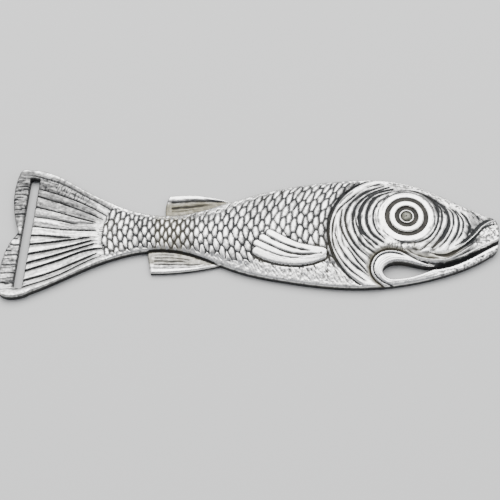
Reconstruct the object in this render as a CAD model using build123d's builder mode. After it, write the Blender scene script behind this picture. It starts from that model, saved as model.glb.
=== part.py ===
from build123d import *
import os

# Fish-shaped cap lifter, lying on its flat back. Millimetres.
# +X runs from the tail to the nose, +Y from the belly to the back of the fish, +Z out of its carved face.
# The origin is the middle of the object's outline, on the plane of its flat back.
# Five pieces: a cast fish, a hard hook that forms the mouth and the lower jaw, and a riveted eye
# made of a dark disc, a bright ring and the rivet itself.

# Thicknesses, each measured up from the flat back
SHEET = 2.6  # rim of the trunk and head
TAIL_SHEET = 2.2  # web of the tail fin between its rims
FIN_SHEET = 1.7  # dorsal and anal fins
CROWN = 2.0  # rise of the trunk's dome above the rim
PECTORAL_TOP = 5.2
SLIT_FLOOR = 0.9

# Crown of the trunk and head, kept inside the rim
RIM_INSET = 0.9

# The tail's web, sunk below the rims along its two edges
WEB = [
    (-46.0, 9.0),
    (-66.5, 18.8),
    (-80.0, 18.8),
    (-80.0, -19.0),
    (-66.5, -19.0),
    (-46.0, -9.3),
    (-44.5, 0.0),
    (-46.0, 9.0),
]

# Tail slot, a strap's width long
SLOT_LENGTH = 37.0
SLOT_WIDTH = 2.7
SLOT_LEAN = 5.2  # degrees off square to the fish
SLOT_CENTRE = (-67.4, 0.0)
SLOT_CORNER = 0.6

# Eye
EYE = (47.2, 4.3)
EYE_SEAT_RADIUS = 6.6
EYE_SEAT_FLOOR = 3.5
EYE_DISC_THICKNESS = 0.5
EYE_RING_OUTER = 5.2
EYE_RING_INNER = 3.5
EYE_RING_TOP = 4.7
EYE_RING_ROUND = 0.35
RIVET_SHANK_RADIUS = 1.25
RIVET_HEAD_RADIUS = 2.2
RIVET_DOME_RADIUS = 1.7
RIVET_HEAD_THICKNESS = 0.4
RIVET_DOME_RISE = 0.4
RIVET_TAIL_RADIUS = 2.1
RIVET_TAIL_DEPTH = 0.85

# Outline of the whole fish, in five runs that meet end to end
NOTCH = (-69.9, 0.0)  # fork of the tail
UPPER_LOBE = [NOTCH, (-71.6, 7.0), (-71.9, 14.0), (-70.7, 20.0)]
UPPER_TIP = [UPPER_LOBE[-1], (-69.8, 21.15), (-67.4, 21.35)]
BACK = [
    UPPER_TIP[-1],
    (-61.4, 20.3),
    (-52.0, 15.3),
    (-42.0, 9.9),
    (-33.4, 6.7),
    (-24.0, 5.6),
    (-12.0, 8.0),
    (3.1, 13.2),
    (18.0, 16.3),
    (36.0, 17.9),
    (49.0, 16.2),
    (61.0, 10.8),
    (73.4, 4.7),
]
NOSE = [BACK[-1], (74.9, 2.4), (75.0, -0.6), (74.6, -5.0), (73.4, -6.9)]
BELLY = [
    NOSE[-1],
    (64.9, -11.7),
    (56.2, -14.8),
    (44.4, -17.4),
    (32.5, -18.4),
    (20.7, -17.7),
    (8.9, -15.9),
    (-3.0, -13.1),
    (-14.9, -8.4),
    (-24.0, -6.1),
    (-33.0, -6.6),
    (-44.7, -10.1),
    (-56.4, -15.7),
    (-65.4, -19.9),
]
LOWER_TIP = [BELLY[-1], (-70.0, -21.4), (-73.6, -20.7), (-74.9, -17.4)]
LOWER_LOBE = [LOWER_TIP[-1], (-74.3, -9.8), (-72.6, -4.2), NOTCH]

# Half-lens sections of the crown: (x, top edge, bottom edge, rise as a share of CROWN)
CROWN_SECTIONS = [
    (-43.0, 10.3, -9.4, 0.25),
    (-33.0, 6.6, -6.6, 0.45),
    (-24.0, 5.6, -6.1, 0.55),
    (-12.0, 8.0, -9.4, 0.75),
    (3.0, 13.2, -14.6, 0.95),
    (20.0, 16.6, -17.6, 1.0),
    (36.0, 17.9, -18.3, 1.0),
    (49.0, 16.2, -16.5, 0.95),
    (61.0, 10.8, -13.1, 0.75),
    (71.0, 5.9, -8.4, 0.45),
]

# Dorsal and anal fins, cut square at the tail end; their roots run on into the trunk
DORSAL_FIN = [(-25.4, 4.8), (-25.6, 9.0), (-24.6, 12.6)]
DORSAL_EDGE = [DORSAL_FIN[-1], (-16.0, 12.9), (-5.0, 10.3)]
DORSAL_ROOT = [DORSAL_EDGE[-1], (-8.0, 5.0), (-24.0, 2.0), DORSAL_FIN[0]]
ANAL_FIN = [(-30.8, -5.8), (-30.3, -10.0), (-29.6, -13.3)]
ANAL_EDGE = [ANAL_FIN[-1], (-20.5, -12.9), (-9.0, -10.8)]
ANAL_ROOT = [ANAL_EDGE[-1], (-12.0, -6.0), (-27.0, -2.5), ANAL_FIN[0]]

# Pectoral fin, a raised leaf with its root towards the head
PECTORAL = [(22.9, -7.6), (18.0, -6.0), (11.5, -3.3), (6.2, 0.7)]
PECTORAL_TIP = [PECTORAL[-1], (1.6, -2.2), (0.5, -6.6)]
PECTORAL_EDGE = [PECTORAL_TIP[-1], (8.6, -10.5), (17.5, -10.9), (22.6, -8.8)]

# Mouth: the hole, the seam between casting and hook, and the slit that runs on to the nose
HOLE = [
    (54.9, -11.6),
    (49.0, -10.95),
    (44.2, -10.15),
    (40.8, -11.1),
    (39.5, -13.0),
    (40.6, -15.0),
    (43.8, -15.5),
    (49.0, -14.6),
    (54.9, -12.5),
]
SEAM = [
    (54.9, -11.3),
    (51.5, -10.4),
    (48.2, -8.8),
    (44.8, -7.1),
    (41.0, -6.7),
    (37.6, -8.3),
    (35.9, -11.6),
    (36.5, -15.0),
    (39.0, -17.4),
    (42.5, -18.8),
]
JAW_LINE = [(54.9, -12.5), (62.2, -10.6), (68.8, -7.2), (76.0, -3.4)]
LIP_LINE = [(54.9, -11.3), (62.2, -9.1), (68.8, -5.8), (76.0, -2.1)]
OUTSIDE = [(76.0, -20.0), (42.5, -20.0)]  # corners beyond the outline

# Fin rays, as shallow scored lines fanned from a centre inside the trunk
RAY_CENTRE = (-24.0, -0.7)
RAY_WIDTH = 0.35
RAY_DEPTH = 0.35
TAIL_RAYS = 13
TAIL_RAY_SPREAD = 42.0  # degrees from the first ray to the last
TAIL_RAY_START = 21.5  # distance from RAY_CENTRE
TAIL_RAY_LENGTH = 60.0  # past the end of the tail
FIN_RAY_PITCH = 1.6
FIN_RAY_LENGTH = 15.0
DORSAL_RAYS_AT = (-17.5, 9.2)
ANAL_RAYS_AT = (-21.5, -10.2)
FIN_RAYS = 3


def outline():
    """Draws the closed outline of the whole fish into the line that is being built."""
    for points in (UPPER_LOBE, UPPER_TIP, BACK, NOSE, BELLY, LOWER_TIP, LOWER_LOBE):
        Spline(*points)


def hook_region():
    """Draws the closed region of the hook: the seam, the jaw's upper line, then round outside the fish."""
    Spline(*SEAM)
    Line(SEAM[0], JAW_LINE[0])
    Spline(*JAW_LINE)
    Polyline(JAW_LINE[-1], *OUTSIDE, SEAM[-1])


def mouth_hole():
    """Draws the closed outline of the hole."""
    Spline(*HOLE)
    Line(HOLE[-1], HOLE[0])


# The crown, a domed solid that stands on the trunk and head inside their rim
with BuildPart() as crown:
    for x, top, bottom, share in CROWN_SECTIONS:
        with BuildSketch(Plane.YZ.offset(x)):
            with BuildLine():
                start = (bottom + RIM_INSET, SHEET - 0.5)
                end = (top - RIM_INSET, SHEET - 0.5)
                middle = ((top + bottom) / 2, SHEET + CROWN * share)
                ThreePointArc(start, middle, end)
                Line(end, start)
            make_face()
    loft()

# The blank that the casting and the hook share: the trunk's plate with the crown on it
with BuildPart() as blank:
    with BuildSketch():
        with BuildLine():
            outline()
        make_face()
    extrude(amount=SHEET)
    add(crown.part)

# The casting
with BuildPart() as fish_casting:
    add(blank.part)

    # the tail's web, lower than its rims
    with BuildSketch(Plane.XY.offset(TAIL_SHEET)):
        with BuildLine():
            Polyline(*WEB)
        make_face()
    extrude(amount=SHEET, mode=Mode.SUBTRACT)

    # dorsal and anal fins, thinner than the trunk
    for side, edge, root in ((DORSAL_FIN, DORSAL_EDGE, DORSAL_ROOT), (ANAL_FIN, ANAL_EDGE, ANAL_ROOT)):
        with BuildSketch():
            with BuildLine():
                Spline(*side)
                Spline(*edge)
                Polyline(*root)
            make_face()
        extrude(amount=FIN_SHEET)

    # pectoral fin
    with BuildSketch(Plane.XY.offset(SHEET)):
        with BuildLine():
            Spline(*PECTORAL)
            Spline(*PECTORAL_TIP)
            Spline(*PECTORAL_EDGE)
            Line(PECTORAL_EDGE[-1], PECTORAL[0])
        make_face()
    extrude(amount=PECTORAL_TOP - SHEET)

    # scored rays of the tail
    with BuildSketch(Plane.XY.offset(TAIL_SHEET - RAY_DEPTH)):
        with Locations(RAY_CENTRE):
            with PolarLocations(
                TAIL_RAY_START + TAIL_RAY_LENGTH / 2,
                TAIL_RAYS,
                start_angle=180 - TAIL_RAY_SPREAD / 2,
                angular_range=TAIL_RAY_SPREAD,
                endpoint=True,
            ):
                Rectangle(TAIL_RAY_LENGTH, RAY_WIDTH)
    extrude(amount=SHEET, mode=Mode.SUBTRACT)

    # scored rays of the dorsal and anal fins
    with BuildSketch(Plane.XY.offset(FIN_SHEET - RAY_DEPTH)):
        with Locations(DORSAL_RAYS_AT, ANAL_RAYS_AT):
            with GridLocations(0, FIN_RAY_PITCH, 1, FIN_RAYS):
                Rectangle(FIN_RAY_LENGTH, RAY_WIDTH)
    extrude(amount=FIN_SHEET, mode=Mode.SUBTRACT)

    # strap slot
    with BuildSketch():
        with Locations(Location(SLOT_CENTRE, -SLOT_LEAN)):
            RectangleRounded(SLOT_WIDTH, SLOT_LENGTH, SLOT_CORNER)
    extrude(amount=SHEET, mode=Mode.SUBTRACT)

    # seat of the eye, its rivet hole and the countersink in the back
    with Locations((EYE[0], EYE[1], EYE_SEAT_FLOOR)):
        Cylinder(
            EYE_SEAT_RADIUS,
            3 * CROWN,
            align=(Align.CENTER, Align.CENTER, Align.MIN),
            mode=Mode.SUBTRACT,
        )
    with Locations((*EYE, 0)):
        Cylinder(
            RIVET_SHANK_RADIUS,
            EYE_SEAT_FLOOR,
            align=(Align.CENTER, Align.CENTER, Align.MIN),
            mode=Mode.SUBTRACT,
        )
        Cone(
            RIVET_TAIL_RADIUS,
            RIVET_SHANK_RADIUS,
            RIVET_TAIL_DEPTH,
            align=(Align.CENTER, Align.CENTER, Align.MIN),
            mode=Mode.SUBTRACT,
        )

    # room for the hook, and the slit between lip and jaw, which keeps a floor
    with BuildSketch():
        with BuildLine():
            hook_region()
        make_face()
    extrude(amount=SHEET + 2 * CROWN, mode=Mode.SUBTRACT)
    with BuildSketch(Plane.XY.offset(SLIT_FLOOR)):
        with BuildLine():
            Spline(*LIP_LINE)
            Line(LIP_LINE[-1], JAW_LINE[-1])
            Spline(*JAW_LINE)
            Line(JAW_LINE[0], LIP_LINE[0])
        make_face()
    extrude(amount=SHEET + CROWN, mode=Mode.SUBTRACT)
fish_casting.part.label = "fish_casting"

# The hook: a loop round the back of the mouth whose lower arm is the jaw
with BuildPart() as opener_hook:
    add(blank.part)
    with BuildSketch():
        with BuildLine():
            hook_region()
        make_face()
        with BuildSketch(mode=Mode.SUBTRACT):
            with BuildLine():
                mouth_hole()
            make_face()
    extrude(amount=SHEET + 2 * CROWN, mode=Mode.INTERSECT)
opener_hook.part.label = "opener_hook"

# The eye
disc_top = EYE_SEAT_FLOOR + EYE_DISC_THICKNESS
with BuildPart() as eye_disc:
    with BuildSketch(Plane.XY.offset(EYE_SEAT_FLOOR)):
        with Locations(EYE):
            Circle(EYE_SEAT_RADIUS)
            Circle(RIVET_SHANK_RADIUS, mode=Mode.SUBTRACT)
    extrude(amount=EYE_DISC_THICKNESS)
eye_disc.part.label = "eye_disc"

with BuildPart() as eye_ring:
    with BuildSketch(Plane.XY.offset(disc_top)):
        with Locations(EYE):
            Circle(EYE_RING_OUTER)
            Circle(EYE_RING_INNER, mode=Mode.SUBTRACT)
    extrude(amount=EYE_RING_TOP - disc_top)
    fillet(eye_ring.faces().sort_by(Axis.Z)[-1].edges(), EYE_RING_ROUND)
eye_ring.part.label = "eye_ring"

with BuildPart() as eye_rivet:
    with BuildSketch(Plane.XZ.offset(-EYE[1])):
        with BuildLine():
            head_top = disc_top + RIVET_HEAD_THICKNESS
            axis_x = EYE[0]
            Polyline(
                (axis_x, 0),
                (axis_x + RIVET_TAIL_RADIUS, 0),
                (axis_x + RIVET_SHANK_RADIUS, RIVET_TAIL_DEPTH),
                (axis_x + RIVET_SHANK_RADIUS, disc_top),
                (axis_x + RIVET_HEAD_RADIUS, disc_top),
                (axis_x + RIVET_HEAD_RADIUS, head_top),
                (axis_x + RIVET_DOME_RADIUS, head_top),
            )
            TangentArc(
                (axis_x, head_top + RIVET_DOME_RISE),
                (axis_x + RIVET_DOME_RADIUS, head_top),
                tangent=(1, 0),
                tangent_from_first=True,
            )
            Line((axis_x, head_top + RIVET_DOME_RISE), (axis_x, 0))
        make_face()
    revolve(axis=Axis((EYE[0], EYE[1], 0), (0, 0, 1)))
eye_rivet.part.label = "eye_rivet"

os.makedirs("parts", exist_ok=True)
for piece in (fish_casting, opener_hook, eye_disc, eye_ring, eye_rivet):
    export_step(piece.part, f"parts/{piece.part.label}.step")
    box = piece.part.bounding_box()
    print(piece.part.label, len(piece.part.solids()), round(piece.part.volume, 2), box.min, box.max)
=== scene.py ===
import math

import bpy
import numpy as np
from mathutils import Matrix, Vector, geometry, kdtree


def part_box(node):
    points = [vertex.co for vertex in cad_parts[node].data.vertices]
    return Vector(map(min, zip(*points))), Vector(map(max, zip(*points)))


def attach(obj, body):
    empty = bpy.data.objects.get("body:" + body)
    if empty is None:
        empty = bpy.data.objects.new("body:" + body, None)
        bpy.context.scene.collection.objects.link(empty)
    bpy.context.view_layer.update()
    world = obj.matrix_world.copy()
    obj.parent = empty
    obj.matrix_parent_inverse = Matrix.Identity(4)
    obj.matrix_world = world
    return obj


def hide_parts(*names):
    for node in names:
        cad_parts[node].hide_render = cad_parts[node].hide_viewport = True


# A cast fish that lifts bottle caps, lying on its flat back. Shapes are worked out in millimetres, in the frame of
# the CAD model: +X to the nose, +Y to the back of the fish, +Z out of its carved face. mesh_object() makes metres.
MM = 0.001

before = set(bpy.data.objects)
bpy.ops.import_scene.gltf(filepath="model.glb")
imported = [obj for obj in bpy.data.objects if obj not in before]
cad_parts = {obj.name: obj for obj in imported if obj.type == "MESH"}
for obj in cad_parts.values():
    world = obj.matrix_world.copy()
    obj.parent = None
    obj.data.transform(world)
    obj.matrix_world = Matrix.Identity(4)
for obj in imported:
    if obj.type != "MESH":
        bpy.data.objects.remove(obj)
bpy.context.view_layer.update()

# ---- numbers of the shape, in mm

GRID = 0.19  # distance between the points of a carved face
EDGE_STEP = 0.22  # distance between the points of an outline
EDGE_ROUND = 0.55  # radius of a carved face's outer edge
BACK_CHAMFER = 0.25
WALL_ROWS = 5
# On the walls these films are partly as-cast tarnish and patina, and partly painted shade that darkens the side walls.
WALL_FILMS_AND_SHADE = {"ink": 0.62, "tarnish": 0.70, "olive": 0.0}  # films on the walls and the back
LINE_REACH = 8.0
CORNER_TURN = math.radians(28)  # an outline that turns more than this has a corner there

SHEET = 2.6  # rim of the trunk and head
TAIL_SHEET = 2.15
FIN_SHEET = 1.7
SLIT_FLOOR = 0.9

# Cross-sections along the fish: x, top edge, bottom edge, rise of its crown above the rim
SECTIONS = np.array([
    (-80.0, 26.0, -25.0, 0.0),
    (-65.0, 21.2, -20.2, 0.0),
    (-52.0, 15.3, -13.8, 0.1),
    (-42.0, 9.9, -9.2, 0.5),
    (-33.0, 6.6, -6.6, 0.9),
    (-24.0, 5.6, -6.1, 1.1),
    (-12.0, 8.0, -9.4, 1.5),
    (3.0, 13.2, -14.6, 1.9),
    (20.0, 16.6, -17.6, 2.0),
    (36.0, 17.9, -18.3, 2.0),
    (49.0, 16.2, -16.5, 1.9),
    (61.0, 10.8, -13.1, 1.5),
    (71.0, 5.9, -8.4, 0.9),
    (80.0, 2.0, -4.0, 0.6),
])

EYE = np.array([47.2, 4.3])
EYE_SEAT = 6.6  # radius of the counterbore that holds the disc
EYE_SURROUND = 8.3
EYE_TOP = 4.5
DISC_RADIUS = 6.58
RING_OUTER = 5.2
RING_INNER = 3.5
STUD_RADIUS = 2.2
EYE_SIDES = 160
STUD_SIDES = 120
SEAT_FLOOR = 3.5

# The gill's edge is close to a circle
GILL_CENTRE = np.array([43.0, -1.1])
GILL_RADIUS = 19.4

# Cuts of the head: width, depth and a smooth line. The first lie between the gill and the eye, from its edge inwards,
# and the others between the eye and the snout.
HEAD_CUTS = [
    (0.30, 0.22, [(40.2, 16.2), (36.2, 14.9), (30.4, 10.4), (26.4, 5.9), (24.7, -0.1), (25.2, -6.1), (28.8, -12.2),
                  (34.2, -16.6)]),
    (0.30, 0.22, [(25.4, -1.5), (27.1, -6.2), (30.0, -10.6), (32.7, -13.0), (35.2, -15.0)]),
    (0.34, 0.26, [(27.9, 6.6), (27.3, 1.2), (29.6, -4.8), (32.6, -9.2), (35.1, -12.1)]),
    (0.26, 0.18, [(29.2, -6.2), (32.2, -10.6), (34.9, -14.0)]),
    (0.50, 0.36, [(41.0, 15.5), (35.0, 12.9), (30.6, 9.0), (28.7, 4.4), (29.3, -0.5), (32.2, -6.1), (35.8, -9.5)]),
    (0.44, 0.34, [(42.5, 15.0), (36.5, 12.4), (32.4, 8.4), (31.0, 3.4), (31.7, -1.4), (34.6, -5.8), (38.1, -8.2)]),
    (0.28, 0.20, [(31.6, 4.6), (32.4, 0.6), (34.6, -3.4), (37.4, -6.6)]),
    (0.66, 0.44, [(43.6, 14.3), (38.0, 12.5), (34.5, 9.0), (33.0, 4.2), (33.5, -0.3), (35.6, -2.9), (38.0, -5.2)]),
    (0.54, 0.40, [(42.8, 13.3), (38.6, 11.4), (35.8, 7.3), (35.2, 2.6), (36.7, -1.6), (40.0, -4.4)]),
    (0.36, 0.24, [(42.2, 12.1), (38.6, 8.9), (37.1, 4.2), (38.1, -0.5), (40.2, -3.2)]),
    (0.34, 0.22, [(44.0, 13.4), (48.0, 13.9), (52.9, 12.3), (55.8, 9.6), (57.0, 5.6), (56.2, 1.4), (53.6, -2.6),
                  (50.0, -4.3), (45.9, -4.5)]),
    (0.80, 0.30, [(53.6, 12.0), (55.8, 10.4), (57.3, 8.2)]),
    (0.34, 0.26, [(54.9, 11.0), (57.5, 8.0), (57.9, 3.4), (55.6, -2.2), (50.8, -7.0)]),
    (0.85, 0.42, [(56.6, 10.2), (59.3, 7.0), (60.0, 3.0), (58.4, -1.4), (54.6, -5.9)]),
    (0.32, 0.24, [(59.0, 8.5), (61.2, 6.0), (61.3, 2.4), (59.2, -2.8), (56.6, -5.9)]),
    (0.46, 0.30, [(60.6, 8.1), (62.7, 5.2), (62.9, 1.4), (61.8, -1.9), (59.6, -5.0)]),
    (0.34, 0.24, [(62.3, 6.8), (64.2, 3.6), (63.9, -0.2), (61.9, -3.6)]),
    (0.40, 0.26, [(63.9, 6.2), (65.8, 3.4), (66.2, 0.6), (65.2, -1.9)]),
]

# Edge of the trunk where the thin fins start, above and below, and the outer edges of those fins
DORSAL_ROOT = [(-27.3, 5.7), (-21.2, 5.8), (-15.2, 7.0), (-9.1, 9.1), (-3.0, 11.5)]
ANAL_ROOT = [(-33.0, -6.6), (-27.0, -6.0), (-21.0, -6.6), (-14.9, -8.4), (-8.0, -11.4)]
DORSAL_EDGE = [(-24.6, 12.6), (-16.0, 12.9), (-5.0, 10.3)]
ANAL_EDGE = [(-29.6, -13.3), (-20.5, -12.9), (-9.0, -10.8)]

# Cuts between the rays of the tail, uppermost first: how dark, and a line from the slot to the root
TAIL_CUTS = [
    (0.45, [(-64.4, 18.6), (-57.6, 16.3), (-49.4, 11.6), (-41.4, 6.9)]),
    (0.80, [(-64.5, 14.7), (-57.3, 12.3), (-49.9, 9.0), (-43.4, 5.4)]),
    (0.90, [(-64.6, 12.0), (-57.2, 9.5), (-49.7, 6.5), (-44.6, 4.1)]),
    (0.85, [(-65.0, 8.4), (-58.2, 6.5), (-50.8, 4.2), (-46.8, 3.1)]),
    (0.70, [(-65.4, 5.0), (-61.1, 4.4), (-57.0, 3.5), (-53.0, 2.6)]),
    (0.70, [(-65.8, 1.9), (-59.5, 1.0), (-53.1, 0.5), (-46.6, 0.3)]),
    (0.60, [(-65.9, -0.9), (-61.7, -1.1), (-57.5, -1.5), (-54.0, -1.7)]),
    (0.80, [(-66.3, -4.0), (-61.6, -3.5), (-55.9, -2.7), (-48.4, -1.6)]),
    (0.95, [(-66.6, -7.2), (-58.1, -5.5), (-53.4, -4.4), (-47.8, -2.7)]),
    (0.95, [(-66.8, -10.2), (-58.0, -7.5), (-53.3, -5.9), (-47.1, -3.8)]),
    (1.00, [(-67.3, -12.8), (-57.9, -9.5), (-49.1, -6.0), (-43.9, -5.0)]),
    (0.60, [(-67.2, -15.9), (-60.1, -13.6), (-53.7, -10.7), (-46.0, -7.0)]),
    (0.45, [(-67.5, -18.2), (-57.6, -14.5), (-49.0, -9.8), (-44.6, -7.6)]),
]
MIDDLE_BAND = 6  # the rays above this one overlap downwards, those below it upwards

# Middle lines of the four rays of the pectoral fin, from their tips to the root they share
PECTORAL_RAYS = [
    [(5.9, -1.3), (9.4, -3.4), (13.6, -5.6), (18.5, -6.9), (21.6, -7.5)],
    [(3.8, -2.9), (6.5, -4.4), (9.4, -5.8), (12.9, -7.1), (18.5, -7.9), (21.4, -8.0)],
    [(2.1, -4.7), (4.9, -6.1), (8.2, -7.6), (12.7, -8.7), (18.4, -8.7), (21.4, -8.3)],
    [(2.0, -7.2), (4.8, -8.6), (8.2, -9.6), (12.7, -10.2), (17.9, -9.7), (21.4, -8.5)],
]
PECTORAL_TOP = 0.60  # above the crown

# Raised lines of the mouth, from the nose, and from under the eye
FOLD_END = 53.4  # x where the fold of the lip ends
LIP_FOLD = [(74.2, 3.6), (72.1, 2.8), (69.8, 1.1), (67.9, -1.2), (65.9, -3.2), (63.4, -5.2), (60.6, -6.6),
            (57.9, -7.4), (55.5, -7.5), (53.1, -7.1)]
CHEEK_FOLD = [(45.6, -6.0), (47.1, -7.8), (49.5, -9.1), (52.4, -9.8), (56.0, -10.0), (58.4, -9.8), (60.8, -8.8),
              (63.3, -7.4), (65.8, -5.6), (67.4, -4.3)]
LIP_LINE = [(54.9, -11.3), (62.2, -9.1), (68.8, -5.8), (76.0, -2.1)]
JAW_LINE = [(54.9, -12.5), (62.2, -10.6), (68.8, -7.2), (76.0, -3.4)]
SEAM = [(54.9, -11.3), (51.5, -10.4), (48.2, -8.8), (44.8, -7.1), (41.0, -6.7), (37.6, -8.3), (35.9, -11.6),
        (36.5, -15.0), (39.0, -17.4), (42.5, -18.8)]

# Cuts beside those lines: width, depth, ink, how blunt their ends are, seed and line
MOUTH_CUTS = [
    (0.80, 0.36, 1.00, 0.4, 41, [(73.8, 2.4), (71.4, 1.5), (69.0, -0.5), (67.0, -2.8), (64.4, -4.9), (61.3, -7.0),
                                 (58.6, -8.2), (56.4, -8.2), (54.0, -7.6)]),
    (0.52, 0.24, 1.00, 0.3, 42, [(72.8, 4.3), (71.0, 3.3), (68.9, 1.6), (66.8, -1.0), (64.4, -3.4), (61.4, -5.4)]),
    (0.42, 0.20, 0.95, 0.4, 43, [(45.2, -5.4), (46.0, -7.6), (48.3, -9.3), (51.6, -10.4), (55.0, -10.9),
                                 (59.0, -10.5)]),
    (0.40, 0.18, 0.80, 0.3, 44, [(46.6, -6.0), (48.4, -7.6), (50.8, -8.6), (54.0, -9.1), (57.6, -9.0)]),
    (0.30, 0.12, 0.50, 0.3, 45, [(58.0, -10.3), (61.0, -9.6), (64.0, -7.9), (67.2, -5.6)]),
]

# Cuts of the thin fins: distance from their outer edge, width, ink, and the x where they end
DORSAL_CUTS = [(2.1, 0.55, 1.0, -6), (4.0, 0.62, 0.9, -10), (5.1, 0.30, 0.5, -14)]
ANAL_CUTS = [(1.4, 0.22, 0.5, -10), (2.5, 0.26, 0.65, -12), (3.5, 0.30, 0.7, -16), (4.5, 0.24, 0.55, -15),
             (5.4, 0.20, 0.4, -18)]


# ---- small mathematics

def smooth(low, high, value):
    """From 0 at low to 1 at high, with flat ends."""
    t = np.clip((value - low) / (high - low), 0, 1)
    return t * t * (3 - 2 * t)


def window(value, low, low_full, high_full, high):
    """1 between the two middle numbers, falling smoothly to 0 at the outer two."""
    return smooth(low, low_full, value) * smooth(high, high_full, value)


def hermite(at, places, values):
    """A smooth curve through values at rising places, like np.interp without its corners."""
    places = np.asarray(places, float)
    values = np.asarray(values, float)
    slopes = np.gradient(values, places)
    i = np.clip(np.searchsorted(places, at) - 1, 0, len(places) - 2)
    span = places[i + 1] - places[i]
    t = np.clip((at - places[i]) / span, 0, 1)
    a = (1 + 2 * t) * (1 - t) ** 2 * values[i] + t * t * (3 - 2 * t) * values[i + 1]
    b = t * (1 - t) ** 2 * slopes[i] - t * t * (1 - t) * slopes[i + 1]
    return a + b * span


def lumps(x, y, size, seed):
    """Smooth random values between -1 and 1, about size mm apart."""
    table = np.random.default_rng(seed).uniform(-1, 1, (64, 64))
    u = np.asarray(x) / size + 1000.0
    v = np.asarray(y) / size + 1000.0
    i = np.floor(u).astype(int)
    j = np.floor(v).astype(int)
    s = u - i
    t = v - j
    s = s * s * (3 - 2 * s)
    t = t * t * (3 - 2 * t)
    low = table[i % 64, j % 64] * (1 - s) + table[(i + 1) % 64, j % 64] * s
    high = table[i % 64, (j + 1) % 64] * (1 - s) + table[(i + 1) % 64, (j + 1) % 64] * s
    return low * (1 - t) + high * t


def curve(points, step=0.1):
    """Points close together along a smooth line through a few points."""
    p = np.asarray(points, float)
    run = np.concatenate([[0], np.cumsum(np.linalg.norm(np.diff(p, axis=0), axis=1))])
    at = np.linspace(0, run[-1], max(8, int(run[-1] / step)))
    return np.stack([hermite(at, run, p[:, 0]), hermite(at, run, p[:, 1])], 1)


def radius(points, centre):
    return np.linalg.norm(points - centre, axis=1)


def near(points, line):
    """For each point, its distance to a line's points and how far along the line it lies, from 0 to 1."""
    distance = np.empty(len(points))
    along = np.empty(len(points))
    for i in range(0, len(points), 4000):
        part = points[i:i + 4000]
        gap = ((part[:, None, :] - line[None, :, :]) ** 2).sum(2)
        best = gap.argmin(1)
        distance[i:i + 4000] = np.sqrt(gap[np.arange(len(part)), best])
        along[i:i + 4000] = best / (len(line) - 1)
    return distance, along


def near_line(points, line):
    """near() for a smooth line through a few points; points further than LINE_REACH from its box are only far away."""
    line = curve(line)
    inside = np.all((points > line.min(0) - LINE_REACH) & (points < line.max(0) + LINE_REACH), axis=1)
    distance = np.full(len(points), 1e3)
    along = np.zeros(len(points))
    distance[inside], along[inside] = near(points[inside], line)
    return distance, along


def groove(distance, width):
    """1 on a line, falling to 0 over about width to each side."""
    return np.exp(-((distance / width) ** 2))


# ---- outlines, taken from the CAD model

def back_loops(node):
    """Closed outlines in mm of a CAD node's flat back, largest first. Holes run clockwise, the outer one doesn't."""
    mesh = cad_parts[node].data
    index = {}
    place = []
    for vertex in mesh.vertices:
        key = tuple(round(c / MM, 3) for c in vertex.co)
        place.append(index.setdefault(key, len(index)))
    points = np.array(list(index))
    edges = set()
    for face in mesh.polygons:
        corners = [place[i] for i in face.vertices]
        if all(abs(points[i][2]) < 1e-3 for i in corners):
            edges.update(zip(corners, corners[1:] + corners[:1]))
    after = {b: a for a, b in edges if (b, a) not in edges}
    loops = []
    while after:
        start = next(iter(after))
        loop = [start]
        step = after.pop(start)
        while step != start:
            loop.append(step)
            step = after.pop(step)
        loops.append(points[loop][:, :2])
    return sorted(loops, key=lambda p: -abs(area(p)))


def area(loop):
    x, y = loop.T
    return 0.5 * float(np.sum(x * np.roll(y, -1) - y * np.roll(x, -1)))


def refine(loop):
    """A CAD outline with even, close points: smooth where it bends, sharp at its corners."""
    kept = [loop[0]]
    for point in loop[1:]:
        if np.linalg.norm(point - kept[-1]) > 0.12:
            kept.append(point)
    p = np.array(kept)
    ahead = np.roll(p, -1, 0) - p
    length = np.linalg.norm(ahead, axis=1)
    unit = ahead / length[:, None]
    before = np.roll(unit, 1, 0)
    turn = np.arccos(np.clip((unit * before).sum(1), -1, 1))
    behind = np.roll(length, 1)
    straight = np.maximum(length, behind) > 3 * np.minimum(length, behind)  # where a bend runs into a straight
    weight = np.where(straight, behind, length)[:, None]
    other = np.where(straight, length, behind)[:, None]
    tangent = before * weight + unit * other
    tangent /= np.linalg.norm(tangent, axis=1)[:, None]
    made = []
    for i in range(len(p)):
        j = (i + 1) % len(p)
        start = unit[i] if turn[i] > CORNER_TURN else tangent[i]
        end = unit[i] if turn[j] > CORNER_TURN else tangent[j]
        count = max(1, round(length[i] / EDGE_STEP))
        for k in range(count):
            t = k / count
            bend = t * (1 - t) ** 2 * start - t * t * (1 - t) * end
            made.append(p[i] * (1 + 2 * t) * (1 - t) ** 2 + p[j] * t * t * (3 - 2 * t) + bend * length[i])
    return np.array(made)


def inward(loop):
    """Unit normals of a loop, to the left of its direction, which is into the metal."""
    along = np.roll(loop, -1, 0) - np.roll(loop, 1, 0)
    along /= np.linalg.norm(along, axis=1)[:, None]
    return np.stack([-along[:, 1], along[:, 0]], 1)


def tree_of(points):
    tree = kdtree.KDTree(len(points))
    for i, (x, y) in enumerate(points):
        tree.insert((x, y, 0), i)
    tree.balance()
    return tree


def distances(tree, points):
    return np.array([tree.find((x, y, 0))[2] for x, y in points])


def inside(points, loops):
    """Which points lie in the metal, by counting how many edges a ray to the right crosses."""
    hit = np.zeros(len(points), int)
    x, y = points.T
    for loop in loops:
        for (ax, ay), (bx, by) in zip(loop, np.roll(loop, -1, 0)):
            if ay == by:
                continue
            rows = (y > min(ay, by)) & (y <= max(ay, by))
            cross = ax + (y[rows] - ay) * (bx - ax) / (by - ay)
            hit[rows] += cross > x[rows]
    return hit % 2 == 1


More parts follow.
